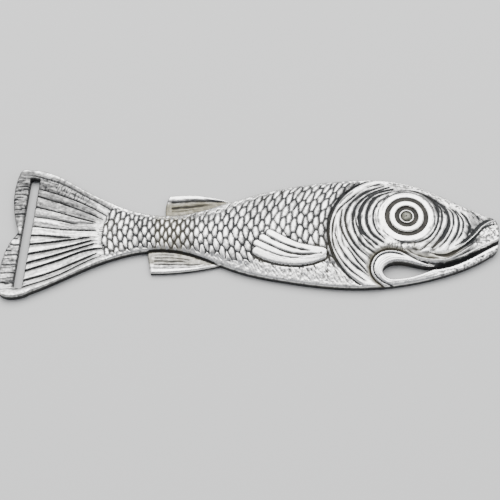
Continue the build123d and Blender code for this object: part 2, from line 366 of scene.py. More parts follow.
def triangles(points, loops, tolerance):
    """Triangulates points that begin with the loops: the new points, the faces, and each point's old number or -1."""
    edges = []
    for loop in loops:
        start = len(edges)
        edges += [(start + i, start + (i + 1) % len(loop)) for i in range(len(loop))]
    made = geometry.delaunay_2d_cdt([Vector(p) for p in points], edges, [], 2, tolerance)
    return np.array([tuple(v) for v in made[0]]), made[2], [s[0] if s else -1 for s in made[3]]


def without_holes(points, faces, loops, on_rim):
    """The faces of a triangulation that lie in the metal. Only those with all corners on the rim can span a hole."""
    spanning = [i for i, face in enumerate(faces) if all(on_rim[corner] for corner in face)]
    middles = np.array([points[list(faces[i])].mean(0) for i in spanning]).reshape(-1, 2)
    outside = {i for i, metal in zip(spanning, inside(middles, loops)) if not metal}
    return [tuple(face) for i, face in enumerate(faces) if i not in outside]


# ---- a carved face on a flat-backed plate

def plate(name, loops, relief, features=()):
    """A closed plate: carved face, walls and flat back. relief(points, distance to the outline) makes its Face."""
    rim = np.concatenate(loops)
    tree = tree_of(np.concatenate([rim, *((loop + np.roll(loop, -1, 0)) / 2 for loop in loops)]))

    # rows of points that follow the rounded edge, and the lines where the face has a step
    rows = []
    for turn in (25, 45, 62, 78, 90):
        depth = EDGE_ROUND * (1 - math.cos(math.radians(turn)))
        for loop in loops:
            row = loop + inward(loop) * depth
            rows.append(row[distances(tree, row) > depth * 0.93])
    edge_rows = np.concatenate(rows)
    lines = np.concatenate([*features]) if len(features) else np.zeros((0, 2))
    lines = lines[inside(lines, loops)]
    lines = lines[distances(tree, lines) > EDGE_ROUND * 0.5] if len(lines) else lines

    # a triangular grid fills the rest
    low = rim.min(0)
    high = rim.max(0)
    ys = np.arange(low[1], high[1], GRID * math.sqrt(0.75))
    xs = np.arange(low[0], high[0], GRID)
    gx, gy = np.meshgrid(xs, ys)
    gx[1::2] += GRID / 2
    grid = np.stack([gx.ravel(), gy.ravel()], 1)
    grid = grid[inside(grid, loops)]
    grid = grid[distances(tree, grid) > EDGE_ROUND + GRID * 0.4]
    if len(lines):
        grid = grid[distances(tree_of(lines), grid) > GRID * 0.55]

    points = np.concatenate([rim, edge_rows, lines, grid])
    spots, faces, source = triangles(points, loops, 1e-5)
    on_rim = [0 <= s < len(rim) for s in source]
    faces = without_holes(spots, faces, loops, on_rim)

    # the face's heights, rounded off at the edge
    distance = distances(tree, spots)
    distance[on_rim] = 0
    face = relief(spots, distance)
    height = face.z
    reach = np.clip(1 - distance / EDGE_ROUND, 0, 1)
    height -= EDGE_ROUND * (1 - np.sqrt(1 - reach ** 2)) * np.clip(height / 1.2, 0.3, 1)
    vertices = np.column_stack([spots, height])

    # walls down from the rim, a small chamfer, and the back
    top_of = {s: i for i, s in enumerate(source) if 0 <= s < len(rim)}
    walls = []
    back_index = []
    start = 0
    for loop in loops:
        inner = inward(loop)
        tight = distances(tree, loop + inner * BACK_CHAMFER) < BACK_CHAMFER * 0.9
        tight = np.any([np.roll(tight, shift) for shift in range(-3, 4)], axis=0)
        foot = loop + inner * np.where(tight, 0.02, BACK_CHAMFER)[:, None]
        upper = [top_of[start + i] for i in range(len(loop))]
        start += len(loop)
        tops = height[upper]
        rows = [(loop, tops * (1 - k / WALL_ROWS) + BACK_CHAMFER * (k / WALL_ROWS)) for k in range(1, WALL_ROWS + 1)]
        for line, z in [*rows, (foot, 0 * tops)]:
            lower = list(range(len(vertices), len(vertices) + len(loop)))
            vertices = np.concatenate([vertices, np.column_stack([line, z])])
            walls += zip(upper[1:] + upper[:1], upper, lower, lower[1:] + lower[:1])
            upper = lower
        back_index += upper
    under_spots, under_faces, source = triangles(vertices[back_index][:, :2], loops, 1e-6)
    if -1 in source:
        raise ValueError(f"the back's outline of {name} crosses itself")
    under_faces = without_holes(under_spots, under_faces, loops, [True] * len(under_spots))
    back = [tuple(back_index[source[i]] for i in reversed(f)) for f in under_faces]

    piece = mesh_object(name, vertices, faces + walls + back)
    store_hollows(piece, len(spots))
    # the walls and back take the fixed films: as-cast tarnish and patina, with painted shade darkening the walls
    for film, amount in WALL_FILMS_AND_SHADE.items():
        values = np.full(len(vertices), amount)
        values[:len(spots)] = np.clip(getattr(face, film), 0, 1)
        store(piece.data, film, values)
    return piece


def linked(name, data):
    """A new object in the scene."""
    made = bpy.data.objects.new(name, data)
    bpy.context.scene.collection.objects.link(made)
    return made


def mesh_object(name, vertices, faces):
    """A smooth-shaded object in metres, from millimetres."""
    mesh = bpy.data.meshes.new(name)
    mesh.from_pydata((np.asarray(vertices) * MM).tolist(), [], faces)
    mesh.update()
    mesh.shade_smooth()
    return linked(name, mesh)


def store(mesh, name, values):
    """Stores a number for each point of a mesh, for its material to read."""
    mesh.attributes.new(name, "FLOAT", "POINT").data.foreach_set("value", np.array(values, np.float32))


HOLLOWS = {7: "fine_hollow", 40: "broad_hollow"}  # after how many steps of blurring each is taken


def store_hollows(piece, carved):
    """Stores how deep each of the first points, the carved face, lies below its surroundings in mm, at two scales."""
    mesh = piece.data
    pairs = np.zeros(len(mesh.edges) * 2, int)
    mesh.edges.foreach_get("vertices", pairs)
    pairs = pairs.reshape(-1, 2)
    pairs = pairs[(pairs < carved).all(1)]
    place = np.zeros(len(mesh.vertices) * 3)
    mesh.vertices.foreach_get("co", place)
    height = place[2:3 * carved:3] / MM
    count = np.bincount(pairs.ravel(), minlength=carved) + 1.0
    blurred = height
    for step in range(1, max(HOLLOWS) + 1):
        total = blurred.copy()
        total += np.bincount(pairs[:, 0], blurred[pairs[:, 1]], carved)
        total += np.bincount(pairs[:, 1], blurred[pairs[:, 0]], carved)
        blurred = total / count
        if step in HOLLOWS:
            values = np.zeros(len(mesh.vertices))
            values[:carved] = blurred - height
            store(mesh, HOLLOWS[step], values)


# ---- the carving

def section(x):
    """Top edge, bottom edge and rise of the crown at each x."""
    return [hermite(x, SECTIONS[:, 0], SECTIONS[:, i]) for i in (1, 2, 3)]


def crown(points):
    x, y = points.T
    top, bottom, rise = section(x)
    half = (top - bottom) / 2
    across = np.clip((y - (top + bottom) / 2) / half, -1, 1)
    return SHEET + rise * (1 - across ** 2)


class Face:
    """What the carving makes at each point: height in mm, and how much patina, tarnish and olive film lie on it, with
    painted shade laid into the patina and tarnish films in places.
    """

    def __init__(self, points, height):
        self.points = points
        self.x, self.y = points.T
        self.top, self.bottom, _ = section(self.x)  # edges of the trunk
        self.z = height
        self.ink = np.zeros(len(points))
        self.tarnish = np.zeros(len(points))
        self.olive = np.zeros(len(points))

    def cut(self, distance, width, depth, ink=1.0, where=1.0):
        """A groove about width wide, its bottom filled with patina."""
        self.z -= depth * where * groove(distance, 0.60 * width)
        self.stain(ink=ink * where * smooth(0.66 * width, 0.34 * width, distance))

    def ridge(self, distance, width, rise, where=1.0):
        """A raised line that wears bright."""
        lift = where * groove(distance, 0.60 * width)
        self.z += rise * lift
        self.clean(0.9 * lift)

    def line(self, points, width, depth, ink=1.0, where=1.0, blunt=0.4, seed=0):
        """A cut along a smooth line, thinner at its ends and uneven in depth."""
        x, y = self.x, self.y
        distance, along = near_line(self.points, points)
        taper = blunt + (1 - blunt) * np.clip(5 * np.minimum(along, 1 - along), 0, 1)
        taper = taper * (1 + 0.25 * lumps(x, y, 2.6, 100 + seed))
        wander = 0.10 * lumps(x, y, 1.3, 130 + seed)
        distance = np.maximum(distance + wander * (distance < 1.5), 0) / taper
        self.cut(distance, width, depth, ink, where * np.sqrt(taper))

    def stain(self, **films):
        """Lays films over the ones that are there; the stronger of the two shows."""
        for film, amount in films.items():
            setattr(self, film, np.maximum(getattr(self, film), amount))

    def blend(self, height, share):
        self.z = self.z * (1 - share) + height * share

    def clean(self, share):
        for film in WALL_FILMS_AND_SHADE:
            setattr(self, film, getattr(self, film) * (1 - share))


def line_y(x, points):
    """Height y of a line that runs from left to right or right to left, at each x."""
    line = curve(points)
    if line[0, 0] > line[-1, 0]:
        line = line[::-1]
    return np.interp(x, line[:, 0], line[:, 1])


SCALE_X = np.linspace(-90, 90, 1801)
SCALE_PITCH = hermite(SCALE_X, [-44, -36, -28, -20, -12, 3, 24], [1.55, 1.50, 1.24, 1.32, 1.47, 1.58, 1.66])
SCALE_COUNT = np.cumsum((SCALE_X[1] - SCALE_X[0]) / SCALE_PITCH)  # columns of scales up to each x
SCALE_BOW = 0.017  # how far a column's ends lean to the head, per mm squared
SCALE_SQUASH = 0.50  # heights count this much when the nearest scale is looked for, which makes the scales slender
SCALE_CORNER = 0.16  # how round their corners are
SCALE_SLANT = 0.30  # slope of the joints between a column's scales, up to the head on the back
SCALE_JITTER = np.random.default_rng(3).uniform(-1, 1, (64, 64, 4))


def scales(points):
    """Slender scales in staggered columns: distance in mm to the cuts between them, and place in the scale."""
    x, y = points.T
    top, bottom, _ = section(x)
    rise = hermite(x, [-43, -28, -12, 2, 15, 24], [3.8, 3.7, 4.2, 4.4, 4.5, 4.3])
    up = y + 0.16 * lumps(x, y, 3.5, 5) - (top + bottom) / 2
    v = 2 * up / rise
    along = x + 0.16 * lumps(x, y, 4.0, 4) - SCALE_BOW * up ** 2
    pitch = np.interp(along, SCALE_X, SCALE_PITCH)
    u = np.interp(along, SCALE_X, SCALE_COUNT)
    slant = SCALE_SLANT * np.clip(up / 5, -1, 1)
    offsets = []
    signs = []
    for shift in (-1, 0, 1, 2):
        row = np.floor(v) + shift
        odd = row % 2
        nearest = 2 * np.round((u - odd) / 2) + odd
        for column in (nearest, nearest + np.where(u > nearest, 2, -2)):
            jitter = SCALE_JITTER[column.astype(int) % 64, row.astype(int) % 64]
            du = (u - column - 0.20 * jitter[:, 0]) * pitch
            dv = (v - row - 0.30 * jitter[:, 1]) * rise / 2 - slant * du
            offsets.append(np.stack([du, dv * SCALE_SQUASH], 1))
            signs.append(jitter[:, 2:])
    offsets = np.array(offsets)
    far = (offsets ** 2).sum(2)
    own = far.argmin(0)
    spots = np.arange(len(x))
    mine = offsets[own, spots]
    apart = offsets - mine
    slope = np.hypot(apart[..., 0], apart[..., 1] * SCALE_SQUASH)
    gaps = (far - far[own, spots]) / 2 / np.maximum(slope, 1e-3)
    gaps[own, spots] = 9.0
    gap = -SCALE_CORNER * np.log(np.exp(-np.minimum(gaps, 9) / SCALE_CORNER).sum(0))
    place = np.column_stack([mine[:, 0] / 0.8, mine[:, 1] / SCALE_SQUASH / 2.0, np.array(signs)[own, spots]])
    return gap, place


def dashes(points, pitch, length, lean, seed, low=0.1, high=0.7):
    """Short uneven strokes, 0 to 1, about pitch mm apart, length mm long and leaning by lean mm per mm upwards."""
    x, y = points.T
    across = (x - lean * y) / pitch
    along = y / length
    value = lumps(across, along, 1.0, seed) + 0.5 * lumps(1.9 * across, 1.7 * along, 1.0, seed + 1)
    return smooth(low, high, value)


def carve_trunk(face):
    """Scales, which fade into short strokes above and below."""
    points, x, y, top, bottom = face.points, face.x, face.y, face.top, face.bottom
    gap_top = top - y
    gap_bottom = y - bottom
    ragged = 0.5 * lumps(x, y, 1.5, 9)
    gill_gap = radius(points, GILL_CENTRE) - GILL_RADIUS
    trunk = np.where((gill_gap > 0) & (x < 42), 1.0, 0.0) * smooth(-45.2, -44.2, x - 0.03 * (y + 1.5) ** 2)
    under_fin = window(x, -4, 3, 22, 27)
    edge_top = hermite(x, [-44, -30, -12, 0, 8, 24, 34], [1.8, 1.2, 2.2, 1.6, 0.9, 0.8, 1.2])
    edge_bottom = hermite(x, [-44, -30, -12, 0, 6, 24], [1.4, 0.6, 1.6, 3.2, 6.2, 7.2])
    full = smooth(-0.5, 0.7, gap_top + ragged - edge_top) * smooth(-0.5, 0.7, gap_bottom + ragged - edge_bottom)
    gap, place = scales(points)
    du, dv, chance, _ = place.T
    body = 1 - np.exp(-((np.maximum(gap - 0.05, 0) / 0.26) ** 1.2))
    body *= (1 - 0.22 * smooth(-1, 1, du)) * (1 + 0.12 * chance)
    on = trunk * full
    face.z += on * (0.44 * body - 0.10)
    bold = 0.85 + 0.25 * lumps(x, y, 3.0, 17)
    face.stain(ink=on * bold * smooth(0.26, 0.04, gap))
    shade = 0.40 * smooth(0.0, 0.9, du - 0.3 * dv) + 0.14 * chance
    rough = 0.24 * lumps(x, y, 0.5, 19)
    near_gill = 0.60 * smooth(2.6, 0.3, gill_gap)
    face.stain(tarnish=on * np.clip(shade + rough + near_gill, 0, 0.8))

    # strokes in the margins, above leaning to the head and below leaning to the tail
    above = smooth(0.7, 1.3, gap_top + ragged) * smooth(edge_top + 1.8, edge_top + 0.3, gap_top)
    line = dashes(points, 0.42, 1.5, 0.55, 11)
    share = trunk * above * (1 - full)
    face.z -= 0.14 * share * line
    face.stain(ink=0.62 * share * line)
    below = window(gap_bottom + ragged, 1.6, 2.6, 7.4, 8.4) * under_fin
    line = dashes(points, 0.46, 1.7, -0.45, 13, -0.1, 0.6)
    below += 0.7 * window(gap_bottom, 0.8, 1.5, edge_bottom, edge_bottom + 1.0)
    low = trunk * np.clip(below, 0, 1) * (1 - full)
    face.z -= 0.16 * low * line
    deep = smooth(1.0, 6.0, gap_bottom) * under_fin + 0.55 * (1 - under_fin)
    face.stain(ink=low * line * (0.15 + 0.60 * deep))
    grain = trunk * (1 - full) * lumps(x, y, 0.5, 16)
    face.z += 0.035 * grain
    face.stain(tarnish=0.30 * smooth(0.2, 0.8, grain))
    face.stain(olive=0.75 * trunk * window(x, -31, -27, -22, -14) * smooth(0.55, 0.25, gap))


def carve_tail(face):
    """Pleated rays between two raised rims; each ray's outer side stands above its neighbour."""
    points, x, y = face.points, face.x, face.y
    frayed = x + 0.35 * lumps(x, y * 3, 1.2, 24) - 0.03 * (y + 1.5) ** 2
    tail = smooth(-44.1, -44.6, frayed)
    cuts = []
    for _, cut in TAIL_CUTS:
        line = line_y(x, cut)
        slot_x, slot_y = cut[0]
        next_x, next_y = cut[1]
        slope = (next_y - slot_y) / (next_x - slot_x)
        beyond = np.maximum(slot_x - x, 0)
        cuts.append(np.where(x < slot_x, slot_y - slope * 0.8 * (1 - np.exp(-beyond / 3.0)) * 3.0, line))
    cuts = np.array(cuts)
    band = (cuts > y).sum(0)
    upper = np.take_along_axis(cuts, np.clip(band - 1, 0, len(cuts) - 1)[None], 0)[0]
    lower = np.take_along_axis(cuts, np.clip(band, 0, len(cuts) - 1)[None], 0)[0]
    height = np.maximum(upper - lower, 0.3)
    from_upper = np.clip(upper - y, 0, None)
    from_lower = np.clip(y - lower, 0, None)
    inner = np.where(band < MIDDLE_BAND, from_lower, from_upper)  # distance from the ray's sunk side
    share = np.clip(inner / height, 0, 1)
    share = np.where(band == MIDDLE_BAND, 0.75, share)
    web = (band > 0) & (band < len(cuts))
    fan = smooth(-45.0, -47.5, x)
    pleat = TAIL_SHEET + 0.42 * fan * (1 - (1 - share) ** 1.7) + 0.12 * (1 - fan)
    rim_low = np.where(band == 0, y - cuts[0], cuts[-1] - y)
    rim = TAIL_SHEET + 0.32 + 0.28 * smooth(0.0, 1.8, rim_low)
    face.blend(np.where(web, pleat, rim), tail)

    # fine streaks along the rays, and a grey veil that is strongest on the upper ones
    run = (x + 45) * 0.16
    streak = lumps(run, (y - lower) / height * 3.2 + band * 5.7, 0.8, 21)
    fine = lumps(run * 1.7, (y - lower) / height * 6.5 + band * 9.1, 0.8, 22)
    speck = lumps(x, y, 0.45, 23)
    on = tail * web
    high = np.interp(band, [0, 1, 3, 5, 7, 10, 13], [0.30, 0.64, 0.62, 0.24, 0.14, 0.20, 0.30])
    face.z += on * (0.045 * streak + 0.03 * fine + 0.035 * speck)
    greying = high - 0.10 * streak - 0.22 * fine - 0.12 * speck
    greying *= smooth(-44.5, -50.5, x) * 0.5 + 0.5
    face.stain(tarnish=on * np.clip(greying, 0, 0.9), ink=on * 0.45 * smooth(0.25, 0.80, -fine - 0.4 * speck) * high)
    hatch = dashes(points, 0.36, 1.6, 0.45, 25) * (band == 1) * window(x, -64.2, -60.0, -50.0, -44.0)
    face.z -= 0.07 * tail * hatch
    face.stain(ink=0.50 * tail * hatch)
    lobe = smooth(-67.6, -69.2, x - 0.09 * y) * on
    outer_hatch = dashes(points[:, ::-1], 0.42, 2.6, 0.0, 27, 0.15, 0.75)
    face.z -= 0.08 * lobe * outer_hatch
    face.stain(ink=0.60 * lobe * outer_hatch)
    face.stain(tarnish=lobe * np.clip(0.40 + 0.35 * lumps(x * 0.5, y, 1.6, 20) + 0.2 * speck, 0, 0.8))
    grains = np.where(band == 0, smooth(2.2, 0.3, rim_low), smooth(1.2, 0.3, rim_low)) * (1 - web)
    face.stain(tarnish=tail * (1 - web) * np.clip(0.16 + 0.45 * grains * (band == 0) + 0.30 * speck, 0, 0.8))
    face.stain(tarnish=0.75 * tail * smooth(-64.5, -67.0, x) * window(y, 18.8, 19.4, 20.4, 21.2))

    for number, (ink, cut) in enumerate(TAIL_CUTS):
        up = 1 if number < MIDDLE_BAND else -1  # towards the cut's sunk side
        slope = (cut[-1][1] - cut[0][1]) / (cut[-1][0] - cut[0][0])
        gap = (y - cuts[number]) / math.sqrt(1 + slope ** 2) - 0.12 * up
        ends = smooth(cut[-1][0] + 0.5, cut[-1][0] - 3.0, x)
        width = (0.22 + 0.16 * ink ** 2) * (0.45 + 0.55 * ends) * (1 + 0.25 * lumps(x, y, 2.8, 26))
        beyond_slot = 1 - 0.75 * smooth(cut[0][0] - 1.5, cut[0][0] - 4.0, x)
        where = tail * smooth(cut[-1][0] + 0.6, cut[-1][0] - 0.4, x) * beyond_slot
        # painted shade: grey fading from each cut across the sunk side of the ray, which tilts away from the light
        sunk_shade = np.clip(1 - up * gap / (1.5 + 0.3 * lumps(x, y, 4.0, 18)), 0, 1) * (up * gap > -0.2)
        face.stain(tarnish=0.90 * where * np.sqrt(ink) * sunk_shade)
        face.cut(np.abs(gap) / np.maximum(width, 0.05) * 0.4, 0.4, 0.20, (0.35 + 0.65 * ink), where)

    # the frayed end of the scales
    dash = groove(np.mod(y + 0.15 * lumps(x, y, 1.0, 29), 0.62) - 0.31, 0.14)
    end = window(frayed, -46.4, -45.4, -44.4, -43.9) * smooth(4.6, 3.4, np.abs(y + 1.6))
    face.z -= 0.10 * end * dash
    face.stain(ink=0.72 * end * dash * np.clip(0.7 + 0.6 * lumps(x, y, 0.9, 30), 0, 1))


def blade(face, root, edge, side, cuts, film):
    """Lowers the face to a thin fin beyond its root line. cuts are (distance from its edge, width, ink, reach)."""
    points, x, y = face.points, face.x, face.y
    beyond = side * (y - line_y(x, root))
    span = (x > root[0][0]) & (x < root[-1][0])
    fin = span & (beyond > 0)
    inner = side * (line_y(x, edge) - y)
    scale = np.clip((inner + beyond) / 6.6, 0.2, 1.1)
    low = edge[0][0]
    rounding = np.clip(1 + beyond / 0.6, 0, 1)
    face.z = np.where(span & (beyond <= 0), face.z - 0.45 * (1 - np.sqrt(1 - rounding ** 2)), face.z)
    speck = lumps(x * 0.35, y, 0.45, 42)
    height = FIN_SHEET + 0.14 * smooth(1.8, 1.0, inner / scale) + 0.04 * speck
    face.z = np.where(fin, height, face.z)
    on = fin * 1.0
    face.clean(on)
    face.stain(olive=on * film * smooth(1.7, 3.2, inner / scale) * (0.85 + 0.3 * speck))
    face.stain(tarnish=on * 0.75 * film * smooth(1.9, 3.4, inner / scale))
    fine = lumps(x * 0.12, inner, 0.32, 48) + 0.5 * lumps(x * 0.5, y, 0.4, 49)
    face.z += 0.03 * on * fine
    face.stain(tarnish=on * np.clip(0.42 - 0.40 * fine, 0, 0.85) * smooth(0.9, 1.8, inner / scale))
    for number, (cut, width, ink, reach) in enumerate(cuts):
        gap = np.abs(inner - cut * scale + 0.12 * lumps(x, y, 3.0, 43 + number))
        where = on * window(x, low + 0.5, low + 1.1, reach - 5, reach)
        face.cut(gap, width, 0.22 * ink + 0.04, ink * (0.85 + 0.25 * lumps(x, y, 1.2, 53 + number)), where)


def ring_number(points):
    """0 on the eye's surround, 1 on the gill's edge, and on towards the snout, for streaks that follow the ribs."""
    away = points - EYE
    r = np.linalg.norm(away, axis=1)
    unit = away / np.maximum(r, 1e-6)[:, None]
    offset = EYE - GILL_CENTRE
    b = unit @ offset
    reach = -b + np.sqrt(b * b + GILL_RADIUS ** 2 - offset @ offset) - EYE_SURROUND
    return (r - EYE_SURROUND) / (reach * (1 + 1.6 * np.clip(unit[:, 0], 0, 1) ** 1.2)), unit


def carve_head(face, eye_r):
    """The gill's edge, the ribs cut round the eye, and the smooth surround of the eye."""
    points, x, y, top, bottom = face.points, face.x, face.y, face.top, face.bottom
    margin = np.minimum(top - y, y - bottom)
    gill_gap = radius(points, GILL_CENTRE) - GILL_RADIUS
    left = smooth(41, 36, x) * smooth(0.4, 1.0, margin)
    face.z += 0.26 * window(gill_gap, -3.5, -0.8, -0.35, 0.0) * smooth(46, 38, x)
    bold = window(y, -18, -8, 9, 17)
    uneven = 1 + 0.2 * lumps(x, y, 2.5, 33)
    face.cut(np.abs(gill_gap - 0.12), 0.42 + 0.45 * bold * uneven, 0.40, 1.0, left)
    above_fold = np.where(x > FOLD_END, smooth(-0.2, 0.5, y - line_y(x, LIP_FOLD)), 1.0)
    clear = smooth(0.9, 1.9, margin) * above_fold
    for number, (width, depth, line) in enumerate(HEAD_CUTS):
        face.line(line, 1.25 * width, depth, 0.70 + 0.30 * min(1, width / 0.4), clear, 0.45, number)
        distance, _ = near_line(points, line)
        halo = groove(distance, 1.1 * width + 0.25)
        face.stain(tarnish=0.42 * clear * halo * (0.8 + 0.4 * lumps(x, y, 1.6, 40)))
        face.z -= 0.10 * clear * groove(distance, 0.8)

    # fine streaks along the ribs
    number, unit = ring_number(points)
    around = np.arctan2(unit[:, 1], -unit[:, 0])
    streak = lumps(number * 26, around * 5, 1.0, 34) + 0.6 * lumps(number * 47, around * 8, 1.0, 32)
    ribs = clear * np.where(gill_gap < -0.5, 1.0, 0.0) * (x < 68)
    face.z -= 0.05 * ribs * streak
    face.stain(tarnish=ribs * 0.66 * smooth(0.05, 0.85, streak), ink=ribs * 0.6 * smooth(0.75, 1.25, streak))

    # shading towards the snout, with short strokes, and a granular strip along the top of the head
    snout = smooth(62.5, 66.5, x - 0.25 * y) * smooth(0.6, 1.6, top - y) * above_fold
    face.stain(tarnish=snout * np.clip(0.62 + 0.25 * lumps(x, y, 1.0, 35) - 0.4 * smooth(3.2, 1.0, top - y), 0, 1))
    brush = dashes(points, 0.40, 1.6, -0.55, 36) * snout
    face.z -= 0.10 * brush
    face.stain(ink=0.70 * brush)
    corner = smooth(2.6, 0.5, y - line_y(x, LIP_FOLD)) * smooth(61.5, 65.0, x) * above_fold
    face.stain(ink=0.72 * corner * np.clip(0.75 + 0.35 * lumps(x, y, 0.8, 29), 0, 1))
    under_eye = smooth(-3.6, -4.6, y) * window(x, 38.5, 41.0, 49.0, 52.5) * clear
    tufts = dashes(points, 0.36, 1.0, 0.30, 7)
    face.z -= 0.07 * under_eye * tufts
    face.stain(ink=0.45 * under_eye * tufts)
    strip = window(top - y, 0.5, 0.9, 1.7, 2.6) * window(x, 38, 42, 68, 73)
    grain = lumps(x, y, 0.50, 37)
    face.z += 0.06 * strip * grain
    face.stain(tarnish=strip * smooth(0.0, -0.5, grain) * 0.7)
    cheek = window(y, -9.0, -6.5, -5.0, -2.0) * window(x, 44, 47, 54, 58)
    face.stain(olive=0.5 * cheek * smooth(-0.2, 0.6, lumps(x, y, 1.8, 38)))

    flat = smooth(EYE_SURROUND + 0.7, EYE_SURROUND - 0.4, eye_r)
    level = 0.75 * EYE_TOP + 0.25 * crown(points)
    face.blend(level, flat)
    face.clean(flat)

    # the surround's edge, a crescent of dark streaks beside it, and fine rings on it
    face.cut(np.abs(eye_r - EYE_SURROUND - 0.35), 0.34, 0.12, 0.95 * np.clip(0.35 + 1.1 * lumps(x, y, 2.8, 39), 0, 1))
    polar = np.arctan2(*(points - EYE).T[::-1])
    streak = lumps(eye_r * 2.6, polar * 4, 1.0, 31)
    fine = lumps(eye_r * 4.2, polar * 6, 1.0, 30)
    near_edge = window(eye_r, 8.5, 9.0, 10.6, 11.6) * clear
    crescent = near_edge * window(polar, -0.15, 0.25, 0.8, 1.25)
    face.z -= 0.12 * crescent * smooth(-0.2, 0.6, streak)
    face.stain(tarnish=0.45 * crescent, ink=0.65 * crescent * smooth(0.0, 0.6, streak))
    brow = near_edge * window(polar, 0.8, 1.1, 2.1, 2.6)
    face.stain(tarnish=brow * np.clip(0.30 + 0.5 * fine, 0, 0.8))
    lid = window(eye_r, EYE_SEAT + 0.7, EYE_SEAT + 1.2, EYE_SURROUND + 1.0, EYE_SURROUND + 2.5)
    face.z -= 0.03 * lid * fine
    face.stain(tarnish=0.55 * lid * smooth(0.25, 0.95, fine + 0.3 * streak))


def carve_mouth(face):
    """Folds of the cheek and lips, the granular chin, and the slit that runs on to the nose."""
    points, x, y = face.points, face.x, face.y
    fold, fold_along = near_line(points, LIP_FOLD)
    cheek, cheek_along = near_line(points, CHEEK_FOLD)
    fold_y = line_y(x, LIP_FOLD)
    cheek_y = line_y(x, CHEEK_FOLD)
    lip_y = line_y(x, LIP_LINE)
    lip = np.maximum(y - lip_y, 0)
    below_fold = (x > FOLD_END) & (y < fold_y)

    # a smooth sunk field between the two folds, filmed with olive
    field = np.where(x > FOLD_END, smooth(0.0, 0.7, fold_y - y), smooth(2.7, 1.3, y - cheek_y))
    field *= smooth(0.1, 0.9, y - cheek_y) * window(x, 45.5, 48.0, 65.5, 68.5)
    face.blend(crown(points) - 0.35, 0.8 * field)
    face.clean(field)
    face.stain(olive=field * (0.80 + 0.15 * lumps(x, y, 1.5, 53)) * smooth(64.5, 61.0, x))
    face.stain(tarnish=field * smooth(61.0, 64.5, x) * 0.7)

    # between the lower fold and the slit: a smooth lip, grey with painted shade on its underside towards the slit,
    # that turns granular at the chin
    under = (x > 48) * smooth(0.0, 0.4, cheek_y - y) * (y > -11.6)
    under = np.where(x > 66.8, below_fold * 1.0, under)
    face.blend(crown(points) - 0.15, 0.8 * under)
    face.clean(under)
    # painted shade: grey on the lip's underside, strongest next to the slit
    grey = smooth(1.9, 0.5, lip) * window(x, 55, 58, 66, 70)
    face.stain(tarnish=under * 0.85 * grey)
    chin = below_fold * smooth(65.8, 67.6, x + 0.35 * (y + 2)) * smooth(0.25, 0.7, lip)
    grain = lumps(x, y, 0.42, 51) + 0.6 * lumps(x, y, 0.8, 52)
    face.z += chin * (0.09 * grain + 0.10)
    face.stain(tarnish=chin * smooth(0.1, -0.8, grain) * 0.75, ink=chin * smooth(-0.9, -1.5, grain) * 0.5)
    shade = below_fold * smooth(69.6, 66.8, x + 0.35 * (y + 2)) * smooth(64.0, 66.4, x) * (y > cheek_y)
    face.stain(tarnish=0.9 * shade, ink=0.35 * shade)

    # the folds, with the dark cuts beside them
    for width, depth, ink, blunt, seed, line in MOUTH_CUTS:
        face.line(line, width, depth, ink, 1.0, blunt, seed)
    face.ridge(fold, 0.36, 0.52, smooth(1.0, 0.93, fold_along))
    leaf = 0.42 + 0.40 * window(cheek_along, 0.0, 0.10, 0.14, 0.34)
    face.ridge(cheek / leaf * 0.4, 0.4, 0.62, window(cheek_along, 0.0, 0.03, 0.85, 1.0))
    face.line([(71.6, 4.7), (72.9, 4.4), (74.0, 4.0)], 0.45, 0.12, 0.6, 1.0, 0.6, 46)

    # the seam of the hook: a soft dark valley on the casting's side
    seam, _ = near_line(points, SEAM)
    loop = smooth(49, 45, x)
    face.z -= 0.55 * groove(seam, 0.9) * loop
    face.stain(olive=0.95 * smooth(1.9, 0.3, seam) * loop, ink=smooth(0.75, 0.20, seam) * loop)
    face.ridge(np.abs(lip - 0.25), 0.34, 0.12, smooth(56, 60, x) * (y > lip_y) * (y < fold_y))
    slit = (x > 54.8) & (y < lip_y)
    face.z = np.where(slit, SLIT_FLOOR, face.z)
    face.ink = np.where(slit, 0.9, face.ink)


